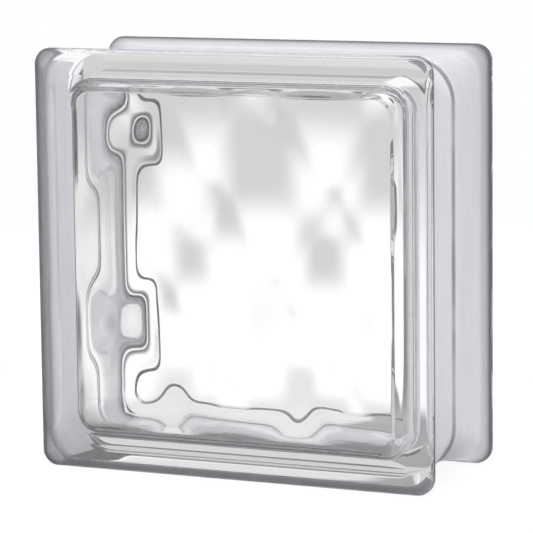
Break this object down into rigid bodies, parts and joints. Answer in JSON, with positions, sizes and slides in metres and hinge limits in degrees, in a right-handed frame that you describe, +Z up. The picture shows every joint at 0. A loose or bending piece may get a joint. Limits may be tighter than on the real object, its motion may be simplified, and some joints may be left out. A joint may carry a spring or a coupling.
{
  "type": "hollow glass block",
  "caption": "Square hollow glass block: two dished halves fused at mid-depth, framed clear faces with a wave relief inside, and hollowed edges that key into mortar.",
  "frame": {"origin": "on the ground under the middle of the block, standing on one edge", "axes": "+X across the face to the right seen from the front, +Y from the front face to the back face, +Z up"},
  "size_m": [0.19, 0.08, 0.19],
  "materials": {
    "pressed_glass": "smooth pressed glass, clear with a faint green in thick places, edges coated milky"
  },
  "bodies": {
    "root": {"front_half": "pressed_glass", "back_half": "pressed_glass"}
  },
  "joints": []
}
